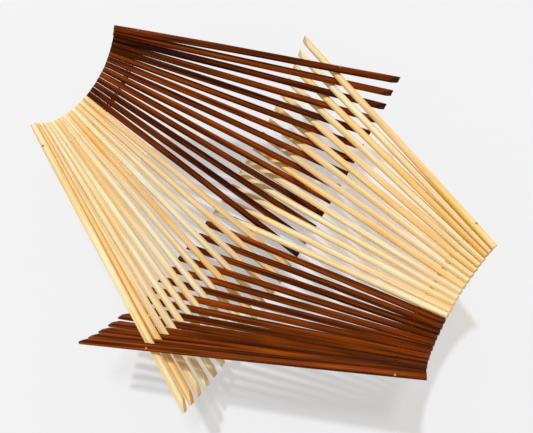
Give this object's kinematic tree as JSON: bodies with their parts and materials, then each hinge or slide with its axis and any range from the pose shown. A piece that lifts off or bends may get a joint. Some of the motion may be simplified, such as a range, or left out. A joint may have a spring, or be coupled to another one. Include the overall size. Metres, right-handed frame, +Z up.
{
  "type": "folding basket",
  "caption": "Shallow folding basket of round tapered wooden sticks strung crosswise on three wires; its two fans of sticks scissor together and close flat.",
  "frame": {"origin": "on the floor, below the middle of the open basket", "axes": "+Z up, +X towards the right rim, Y along the keel wire, the dark left sticks towards +Y"},
  "size_m": [0.3182, 0.3072, 0.1474],
  "materials": {
    "dark_wood": "dark stained, satin lacquer",
    "light_wood": "natural, satin lacquer",
    "wire": "bright drawn steel"
  },
  "bodies": {
    "keel_wire": {"keel_wire": "wire"},
    "dark_left_stick_01": {"dark_left_stick_01": "dark_wood"},
    "light_right_stick_01": {"light_right_stick_01": "light_wood"},
    "dark_left_stick_02": {"dark_left_stick_02": "dark_wood"},
    "light_right_stick_02": {"light_right_stick_02": "light_wood"},
    "dark_left_stick_03": {"dark_left_stick_03": "dark_wood"},
    "light_right_stick_03": {"light_right_stick_03": "light_wood"},
    "dark_left_stick_04": {"dark_left_stick_04": "dark_wood"},
    "light_right_stick_04": {"light_right_stick_04": "light_wood"},
    "dark_left_stick_05": {"dark_left_stick_05": "dark_wood"},
    "light_right_stick_05": {"light_right_stick_05": "light_wood"},
    "dark_left_stick_06": {"dark_left_stick_06": "dark_wood"},
    "light_right_stick_06": {"light_right_stick_06": "light_wood"},
    "dark_left_stick_07": {"dark_left_stick_07": "dark_wood"},
    "light_right_stick_07": {"light_right_stick_07": "light_wood"},
    "dark_left_stick_08": {"dark_left_stick_08": "dark_wood"},
    "light_right_stick_08": {"light_right_stick_08": "light_wood"},
    "dark_left_stick_09": {"dark_left_stick_09": "dark_wood"},
    "light_right_stick_09": {"light_right_stick_09": "light_wood"},
    "dark_left_stick_10": {"dark_left_stick_10": "dark_wood"},
    "light_right_stick_10": {"light_right_stick_10": "light_wood"},
    "dark_left_stick_11": {"dark_left_stick_11": "dark_wood"},
    "light_right_stick_11": {"light_right_stick_11": "light_wood"},
    "dark_left_stick_12": {"dark_left_stick_12": "dark_wood"},
    "light_right_stick_12": {"light_right_stick_12": "light_wood"},
    "dark_left_stick_13": {"dark_left_stick_13": "dark_wood"},
    "light_right_stick_13": {"light_right_stick_13": "light_wood"},
    "dark_left_stick_14": {"dark_left_stick_14": "dark_wood"},
    "light_right_stick_14": {"light_right_stick_14": "light_wood", "right_rim_wire": "wire"},
    "light_left_stick_01": {"light_left_stick_01": "light_wood", "left_rim_wire": "wire"},
    "dark_right_stick_01": {"dark_right_stick_01": "dark_wood"},
    "light_left_stick_02": {"light_left_stick_02": "light_wood"},
    "dark_right_stick_02": {"dark_right_stick_02": "dark_wood"},
    "light_left_stick_03": {"light_left_stick_03": "light_wood"},
    "dark_right_stick_03": {"dark_right_stick_03": "dark_wood"},
    "light_left_stick_04": {"light_left_stick_04": "light_wood"},
    "dark_right_stick_04": {"dark_right_stick_04": "dark_wood"},
    "light_left_stick_05": {"light_left_stick_05": "light_wood"},
    "dark_right_stick_05": {"dark_right_stick_05": "dark_wood"},
    "light_left_stick_06": {"light_left_stick_06": "light_wood"},
    "dark_right_stick_06": {"dark_right_stick_06": "dark_wood"},
    "light_left_stick_07": {"light_left_stick_07": "light_wood"},
    "dark_right_stick_07": {"dark_right_stick_07": "dark_wood"},
    "light_left_stick_08": {"light_left_stick_08": "light_wood"},
    "dark_right_stick_08": {"dark_right_stick_08": "dark_wood"},
    "light_left_stick_09": {"light_left_stick_09": "light_wood"},
    "dark_right_stick_09": {"dark_right_stick_09": "dark_wood"},
    "light_left_stick_10": {"light_left_stick_10": "light_wood"},
    "dark_right_stick_10": {"dark_right_stick_10": "dark_wood"},
    "light_left_stick_11": {"light_left_stick_11": "light_wood"},
    "dark_right_stick_11": {"dark_right_stick_11": "dark_wood"},
    "light_left_stick_12": {"light_left_stick_12": "light_wood"},
    "dark_right_stick_12": {"dark_right_stick_12": "dark_wood"},
    "light_left_stick_13": {"light_left_stick_13": "light_wood"},
    "dark_right_stick_13": {"dark_right_stick_13": "dark_wood"},
    "light_left_stick_14": {"light_left_stick_14": "light_wood"},
    "dark_right_stick_14": {"dark_right_stick_14": "dark_wood"}
  },
  "joints": [
    {"name": "basket_fold", "type": "hinge", "parent": "keel_wire", "child": "light_left_stick_01", "pos_m": [-0.00002, -0.00301, 0.02628], "axis": [0.0043, 1, -0.0033], "range_deg": [0, 54.8], "deforming": ["keel_wire", "left_rim_wire", "right_rim_wire"]},
    {"name": "dark_left_stick_01_turn", "type": "hinge", "parent": "keel_wire", "child": "dark_left_stick_01", "pos_m": [-0.03926, 0.14765, 0.10685], "axis": [-0.4951, 0.7238, 0.4806], "range_deg": [0, 70.34]},
    {"name": "light_right_stick_01_turn", "type": "hinge", "parent": "keel_wire", "child": "light_right_stick_01", "pos_m": [0.03521, 0.14329, 0.10124], "axis": [-0.4814, -0.7497, -0.454], "range_deg": [0, 68.76]},
    {"name": "dark_left_stick_02_turn", "type": "hinge", "parent": "keel_wire", "child": "dark_left_stick_02", "pos_m": [-0.03177, 0.13888, 0.09581], "axis": [-0.4653, 0.7748, 0.428], "range_deg": [0, 67.34]},
    {"name": "light_right_stick_02_turn", "type": "hinge", "parent": "keel_wire", "child": "light_right_stick_02", "pos_m": [0.02884, 0.13441, 0.09057], "axis": [-0.4472, -0.7988, -0.4024], "range_deg": [0, 66.06]},
    {"name": "dark_left_stick_03_turn", "type": "hinge", "parent": "keel_wire", "child": "dark_left_stick_03", "pos_m": [-0.02631, 0.12986, 0.08551], "axis": [-0.4274, 0.8217, 0.3771], "range_deg": [0, 64.9]},
    {"name": "light_right_stick_03_turn", "type": "hinge", "parent": "keel_wire", "child": "light_right_stick_03", "pos_m": [0.0241, 0.12523, 0.08065], "axis": [-0.406, -0.8433, -0.3521], "range_deg": [0, 63.85]},
    {"name": "dark_left_stick_04_turn", "type": "hinge", "parent": "keel_wire", "child": "dark_left_stick_04", "pos_m": [-0.02213, 0.1205, 0.07598], "axis": [-0.3833, 0.8636, 0.3275], "range_deg": [0, 62.9]},
    {"name": "light_right_stick_04_turn", "type": "hinge", "parent": "keel_wire", "child": "light_right_stick_04", "pos_m": [0.02035, 0.11568, 0.0715], "axis": [-0.3598, -0.8824, -0.3032], "range_deg": [0, 62.03]},
    {"name": "dark_left_stick_05_turn", "type": "hinge", "parent": "keel_wire", "child": "dark_left_stick_05", "pos_m": [-0.01871, 0.11076, 0.06721], "axis": [-0.3355, 0.8997, 0.2793], "range_deg": [0, 61.24]},
    {"name": "light_right_stick_05_turn", "type": "hinge", "parent": "keel_wire", "child": "light_right_stick_05", "pos_m": [0.01718, 0.10574, 0.06313], "axis": [-0.3108, -0.9153, -0.256], "range_deg": [0, 60.52]},
    {"name": "dark_left_stick_06_turn", "type": "hinge", "parent": "keel_wire", "child": "dark_left_stick_06", "pos_m": [-0.01572, 0.10062, 0.05925], "axis": [-0.2861, 0.9294, 0.2333], "range_deg": [0, 59.86]},
    {"name": "light_right_stick_06_turn", "type": "hinge", "parent": "keel_wire", "child": "light_right_stick_06", "pos_m": [0.01432, 0.0954, 0.05558], "axis": [-0.2614, -0.9418, -0.2114], "range_deg": [0, 59.25]},
    {"name": "dark_left_stick_07_turn", "type": "hinge", "parent": "keel_wire", "child": "dark_left_stick_07", "pos_m": [-0.01297, 0.09009, 0.05212], "axis": [-0.2372, 0.9526, 0.1903], "range_deg": [0, 58.7]},
    {"name": "light_right_stick_07_turn", "type": "hinge", "parent": "keel_wire", "child": "light_right_stick_07", "pos_m": [0.01165, 0.08468, 0.04888], "axis": [-0.2136, -0.962, -0.1702], "range_deg": [0, 58.19]},
    {"name": "dark_left_stick_08_turn", "type": "hinge", "parent": "keel_wire", "child": "dark_left_stick_08", "pos_m": [-0.01036, 0.0792, 0.04585], "axis": [-0.1909, 0.9699, 0.1512], "range_deg": [0, 57.72]},
    {"name": "light_right_stick_08_turn", "type": "hinge", "parent": "keel_wire", "child": "light_right_stick_08", "pos_m": [0.00911, 0.07363, 0.04304], "axis": [-0.1693, -0.9765, -0.1333], "range_deg": [0, 57.3]},
    {"name": "dark_left_stick_09_turn", "type": "hinge", "parent": "keel_wire", "child": "dark_left_stick_09", "pos_m": [-0.00791, 0.068, 0.04044], "axis": [-0.1488, 0.982, 0.1166], "range_deg": [0, 56.91]},
    {"name": "light_right_stick_09_turn", "type": "hinge", "parent": "keel_wire", "child": "light_right_stick_09", "pos_m": [0.00675, 0.06229, 0.03807], "axis": [-0.1296, -0.9864, -0.1011], "range_deg": [0, 56.55]},
    {"name": "dark_left_stick_10_turn", "type": "hinge", "parent": "keel_wire", "child": "dark_left_stick_10", "pos_m": [-0.00565, 0.05653, 0.03591], "axis": [-0.1117, 0.9899, 0.0868], "range_deg": [0, 56.24]},
    {"name": "light_right_stick_10_turn", "type": "hinge", "parent": "keel_wire", "child": "light_right_stick_10", "pos_m": [0.00461, 0.05072, 0.03398], "axis": [-0.0953, -0.9927, -0.0738], "range_deg": [0, 55.95]},
    {"name": "dark_left_stick_11_turn", "type": "hinge", "parent": "keel_wire", "child": "dark_left_stick_11", "pos_m": [-0.00366, 0.04485, 0.03226], "axis": [-0.0802, 0.9949, 0.0619], "range_deg": [0, 55.7]},
    {"name": "light_right_stick_11_turn", "type": "hinge", "parent": "keel_wire", "child": "light_right_stick_11", "pos_m": [0.00279, 0.03895, 0.03076], "axis": [-0.0664, -0.9965, -0.0512], "range_deg": [0, 55.48]},
    {"name": "dark_left_stick_12_turn", "type": "hinge", "parent": "keel_wire", "child": "dark_left_stick_12", "pos_m": [-0.00203, 0.03302, 0.02947], "axis": [-0.0539, 0.9977, 0.0414], "range_deg": [0, 55.29]},
    {"name": "light_right_stick_12_turn", "type": "hinge", "parent": "keel_wire", "child": "light_right_stick_12", "pos_m": [0.00137, 0.02705, 0.02841], "axis": [-0.0425, -0.9986, -0.0326], "range_deg": [0, 55.14]},
    {"name": "dark_left_stick_13_turn", "type": "hinge", "parent": "keel_wire", "child": "dark_left_stick_13", "pos_m": [-0.00084, 0.02106, 0.02755], "axis": [-0.032, 0.9992, 0.0245], "range_deg": [0, 55.01]},
    {"name": "light_right_stick_13_turn", "type": "hinge", "parent": "keel_wire", "child": "light_right_stick_13", "pos_m": [0.00043, 0.01506, 0.02691], "axis": [-0.0223, -0.9996, -0.0171], "range_deg": [0, 54.92]},
    {"name": "dark_left_stick_14_turn", "type": "hinge", "parent": "keel_wire", "child": "dark_left_stick_14", "pos_m": [-0.00016, 0.00904, 0.02649], "axis": [-0.0131, 0.9999, 0.0101], "range_deg": [0, 54.85]},
    {"name": "light_right_stick_14_turn", "type": "hinge", "parent": "keel_wire", "child": "light_right_stick_14", "pos_m": [0.00002, 0.00301, 0.02628], "axis": [-0.0043, -1, -0.0033], "range_deg": [0, 54.82]},
    {"name": "dark_right_stick_01_turn", "type": "hinge", "parent": "keel_wire", "child": "dark_right_stick_01", "pos_m": [0.00016, -0.00904, 0.02649], "axis": [0.0131, -0.9999, 0.0101], "range_deg": [0, 54.85]},
    {"name": "light_left_stick_02_turn", "type": "hinge", "parent": "keel_wire", "child": "light_left_stick_02", "pos_m": [-0.00043, -0.01506, 0.02691], "axis": [0.0223, 0.9996, -0.0171], "range_deg": [0, 54.92]},
    {"name": "dark_right_stick_02_turn", "type": "hinge", "parent": "keel_wire", "child": "dark_right_stick_02", "pos_m": [0.00084, -0.02106, 0.02755], "axis": [0.032, -0.9992, 0.0245], "range_deg": [0, 55.01]},
    {"name": "light_left_stick_03_turn", "type": "hinge", "parent": "keel_wire", "child": "light_left_stick_03", "pos_m": [-0.00137, -0.02705, 0.02841], "axis": [0.0425, 0.9986, -0.0326], "range_deg": [0, 55.14]},
    {"name": "dark_right_stick_03_turn", "type": "hinge", "parent": "keel_wire", "child": "dark_right_stick_03", "pos_m": [0.00203, -0.03302, 0.02947], "axis": [0.0539, -0.9977, 0.0414], "range_deg": [0, 55.29]},
    {"name": "light_left_stick_04_turn", "type": "hinge", "parent": "keel_wire", "child": "light_left_stick_04", "pos_m": [-0.00279, -0.03895, 0.03076], "axis": [0.0664, 0.9965, -0.0512], "range_deg": [0, 55.48]},
    {"name": "dark_right_stick_04_turn", "type": "hinge", "parent": "keel_wire", "child": "dark_right_stick_04", "pos_m": [0.00366, -0.04485, 0.03226], "axis": [0.0802, -0.9949, 0.0619], "range_deg": [0, 55.7]},
    {"name": "light_left_stick_05_turn", "type": "hinge", "parent": "keel_wire", "child": "light_left_stick_05", "pos_m": [-0.00461, -0.05072, 0.03398], "axis": [0.0953, 0.9927, -0.0738], "range_deg": [0, 55.95]},
    {"name": "dark_right_stick_05_turn", "type": "hinge", "parent": "keel_wire", "child": "dark_right_stick_05", "pos_m": [0.00565, -0.05653, 0.03591], "axis": [0.1117, -0.9899, 0.0868], "range_deg": [0, 56.24]},
    {"name": "light_left_stick_06_turn", "type": "hinge", "parent": "keel_wire", "child": "light_left_stick_06", "pos_m": [-0.00675, -0.06229, 0.03807], "axis": [0.1296, 0.9864, -0.1011], "range_deg": [0, 56.55]},
    {"name": "dark_right_stick_06_turn", "type": "hinge", "parent": "keel_wire", "child": "dark_right_stick_06", "pos_m": [0.00791, -0.068, 0.04044], "axis": [0.1488, -0.982, 0.1166], "range_deg": [0, 56.91]},
    {"name": "light_left_stick_07_turn", "type": "hinge", "parent": "keel_wire", "child": "light_left_stick_07", "pos_m": [-0.00911, -0.07363, 0.04304], "axis": [0.1693, 0.9765, -0.1333], "range_deg": [0, 57.3]},
    {"name": "dark_right_stick_07_turn", "type": "hinge", "parent": "keel_wire", "child": "dark_right_stick_07", "pos_m": [0.01036, -0.0792, 0.04585], "axis": [0.1909, -0.9699, 0.1512], "range_deg": [0, 57.72]},
    {"name": "light_left_stick_08_turn", "type": "hinge", "parent": "keel_wire", "child": "light_left_stick_08", "pos_m": [-0.01165, -0.08468, 0.04888], "axis": [0.2136, 0.962, -0.1702], "range_deg": [0, 58.19]},
    {"name": "dark_right_stick_08_turn", "type": "hinge", "parent": "keel_wire", "child": "dark_right_stick_08", "pos_m": [0.01297, -0.09009, 0.05212], "axis": [0.2372, -0.9526, 0.1903], "range_deg": [0, 58.7]},
    {"name": "light_left_stick_09_turn", "type": "hinge", "parent": "keel_wire", "child": "light_left_stick_09", "pos_m": [-0.01432, -0.0954, 0.05558], "axis": [0.2614, 0.9418, -0.2114], "range_deg": [0, 59.25]},
    {"name": "dark_right_stick_09_turn", "type": "hinge", "parent": "keel_wire", "child": "dark_right_stick_09", "pos_m": [0.01572, -0.10062, 0.05925], "axis": [0.2861, -0.9294, 0.2333], "range_deg": [0, 59.86]},
    {"name": "light_left_stick_10_turn", "type": "hinge", "parent": "keel_wire", "child": "light_left_stick_10", "pos_m": [-0.01718, -0.10574, 0.06313], "axis": [0.3108, 0.9153, -0.256], "range_deg": [0, 60.52]},
    {"name": "dark_right_stick_10_turn", "type": "hinge", "parent": "keel_wire", "child": "dark_right_stick_10", "pos_m": [0.01871, -0.11076, 0.06721], "axis": [0.3355, -0.8997, 0.2793], "range_deg": [0, 61.24]},
    {"name": "light_left_stick_11_turn", "type": "hinge", "parent": "keel_wire", "child": "light_left_stick_11", "pos_m": [-0.02035, -0.11568, 0.0715], "axis": [0.3598, 0.8824, -0.3032], "range_deg": [0, 62.03]},
    {"name": "dark_right_stick_11_turn", "type": "hinge", "parent": "keel_wire", "child": "dark_right_stick_11", "pos_m": [0.02213, -0.1205, 0.07598], "axis": [0.3833, -0.8636, 0.3275], "range_deg": [0, 62.9]},
    {"name": "light_left_stick_12_turn", "type": "hinge", "parent": "keel_wire", "child": "light_left_stick_12", "pos_m": [-0.0241, -0.12523, 0.08065], "axis": [0.406, 0.8433, -0.3521], "range_deg": [0, 63.85]},
    {"name": "dark_right_stick_12_turn", "type": "hinge", "parent": "keel_wire", "child": "dark_right_stick_12", "pos_m": [0.02631, -0.12986, 0.08551], "axis": [0.4274, -0.8217, 0.3771], "range_deg": [0, 64.9]},
    {"name": "light_left_stick_13_turn", "type": "hinge", "parent": "keel_wire", "child": "light_left_stick_13", "pos_m": [-0.02884, -0.13441, 0.09057], "axis": [0.4472, 0.7988, -0.4024], "range_deg": [0, 66.06]},
    {"name": "dark_right_stick_13_turn", "type": "hinge", "parent": "keel_wire", "child": "dark_right_stick_13", "pos_m": [0.03177, -0.13888, 0.09581], "axis": [0.4653, -0.7748, 0.428], "range_deg": [0, 67.34]},
    {"name": "light_left_stick_14_turn", "type": "hinge", "parent": "keel_wire", "child": "light_left_stick_14", "pos_m": [-0.03521, -0.14329, 0.10124], "axis": [0.4814, 0.7497, -0.454], "range_deg": [0, 68.76]},
    {"name": "dark_right_stick_14_turn", "type": "hinge", "parent": "keel_wire", "child": "dark_right_stick_14", "pos_m": [0.03926, -0.14765, 0.10685], "axis": [0.4951, -0.7238, 0.4806], "range_deg": [0, 70.34]}
  ],
  "couplings": [
    {"joint": "dark_left_stick_01_turn", "follows": "basket_fold", "ratio": 1.2835},
    {"joint": "light_right_stick_01_turn", "follows": "basket_fold", "ratio": 1.2547},
    {"joint": "dark_left_stick_02_turn", "follows": "basket_fold", "ratio": 1.2287},
    {"joint": "light_right_stick_02_turn", "follows": "basket_fold", "ratio": 1.2053},
    {"joint": "dark_left_stick_03_turn", "follows": "basket_fold", "ratio": 1.1841},
    {"joint": "light_right_stick_03_turn", "follows": "basket_fold", "ratio": 1.165},
    {"joint": "dark_left_stick_04_turn", "follows": "basket_fold", "ratio": 1.1476},
    {"joint": "light_right_stick_04_turn", "follows": "basket_fold", "ratio": 1.1318},
    {"joint": "dark_left_stick_05_turn", "follows": "basket_fold", "ratio": 1.1173},
    {"joint": "light_right_stick_05_turn", "follows": "basket_fold", "ratio": 1.1041},
    {"joint": "dark_left_stick_06_turn", "follows": "basket_fold", "ratio": 1.0921},
    {"joint": "light_right_stick_06_turn", "follows": "basket_fold", "ratio": 1.0811},
    {"joint": "dark_left_stick_07_turn", "follows": "basket_fold", "ratio": 1.0709},
    {"joint": "light_right_stick_07_turn", "follows": "basket_fold", "ratio": 1.0616},
    {"joint": "dark_left_stick_08_turn", "follows": "basket_fold", "ratio": 1.0531},
    {"joint": "light_right_stick_08_turn", "follows": "basket_fold", "ratio": 1.0454},
    {"joint": "dark_left_stick_09_turn", "follows": "basket_fold", "ratio": 1.0383},
    {"joint": "light_right_stick_09_turn", "follows": "basket_fold", "ratio": 1.0318},
    {"joint": "dark_left_stick_10_turn", "follows": "basket_fold", "ratio": 1.026},
    {"joint": "light_right_stick_10_turn", "follows": "basket_fold", "ratio": 1.0208},
    {"joint": "dark_left_stick_11_turn", "follows": "basket_fold", "ratio": 1.0162},
    {"joint": "light_right_stick_11_turn", "follows": "basket_fold", "ratio": 1.0122},
    {"joint": "dark_left_stick_12_turn", "follows": "basket_fold", "ratio": 1.0088},
    {"joint": "light_right_stick_12_turn", "follows": "basket_fold", "ratio": 1.0059},
    {"joint": "dark_left_stick_13_turn", "follows": "basket_fold", "ratio": 1.0037},
    {"joint": "light_right_stick_13_turn", "follows": "basket_fold", "ratio": 1.0019},
    {"joint": "dark_left_stick_14_turn", "follows": "basket_fold", "ratio": 1.0008},
    {"joint": "light_right_stick_14_turn", "follows": "basket_fold", "ratio": 1.0002},
    {"joint": "dark_right_stick_01_turn", "follows": "basket_fold", "ratio": 1.0008},
    {"joint": "light_left_stick_02_turn", "follows": "basket_fold", "ratio": 1.0019},
    {"joint": "dark_right_stick_02_turn", "follows": "basket_fold", "ratio": 1.0037},
    {"joint": "light_left_stick_03_turn", "follows": "basket_fold", "ratio": 1.0059},
    {"joint": "dark_right_stick_03_turn", "follows": "basket_fold", "ratio": 1.0088},
    {"joint": "light_left_stick_04_turn", "follows": "basket_fold", "ratio": 1.0122},
    {"joint": "dark_right_stick_04_turn", "follows": "basket_fold", "ratio": 1.0162},
    {"joint": "light_left_stick_05_turn", "follows": "basket_fold", "ratio": 1.0208},
    {"joint": "dark_right_stick_05_turn", "follows": "basket_fold", "ratio": 1.026},
    {"joint": "light_left_stick_06_turn", "follows": "basket_fold", "ratio": 1.0318},
    {"joint": "dark_right_stick_06_turn", "follows": "basket_fold", "ratio": 1.0383},
    {"joint": "light_left_stick_07_turn", "follows": "basket_fold", "ratio": 1.0454},
    {"joint": "dark_right_stick_07_turn", "follows": "basket_fold", "ratio": 1.0531},
    {"joint": "light_left_stick_08_turn", "follows": "basket_fold", "ratio": 1.0616},
    {"joint": "dark_right_stick_08_turn", "follows": "basket_fold", "ratio": 1.0709},
    {"joint": "light_left_stick_09_turn", "follows": "basket_fold", "ratio": 1.0811},
    {"joint": "dark_right_stick_09_turn", "follows": "basket_fold", "ratio": 1.0921},
    {"joint": "light_left_stick_10_turn", "follows": "basket_fold", "ratio": 1.1041},
    {"joint": "dark_right_stick_10_turn", "follows": "basket_fold", "ratio": 1.1173},
    {"joint": "light_left_stick_11_turn", "follows": "basket_fold", "ratio": 1.1318},
    {"joint": "dark_right_stick_11_turn", "follows": "basket_fold", "ratio": 1.1476},
    {"joint": "light_left_stick_12_turn", "follows": "basket_fold", "ratio": 1.165},
    {"joint": "dark_right_stick_12_turn", "follows": "basket_fold", "ratio": 1.1841},
    {"joint": "light_left_stick_13_turn", "follows": "basket_fold", "ratio": 1.2053},
    {"joint": "dark_right_stick_13_turn", "follows": "basket_fold", "ratio": 1.2287},
    {"joint": "light_left_stick_14_turn", "follows": "basket_fold", "ratio": 1.2547},
    {"joint": "dark_right_stick_14_turn", "follows": "basket_fold", "ratio": 1.2835}
  ]
}
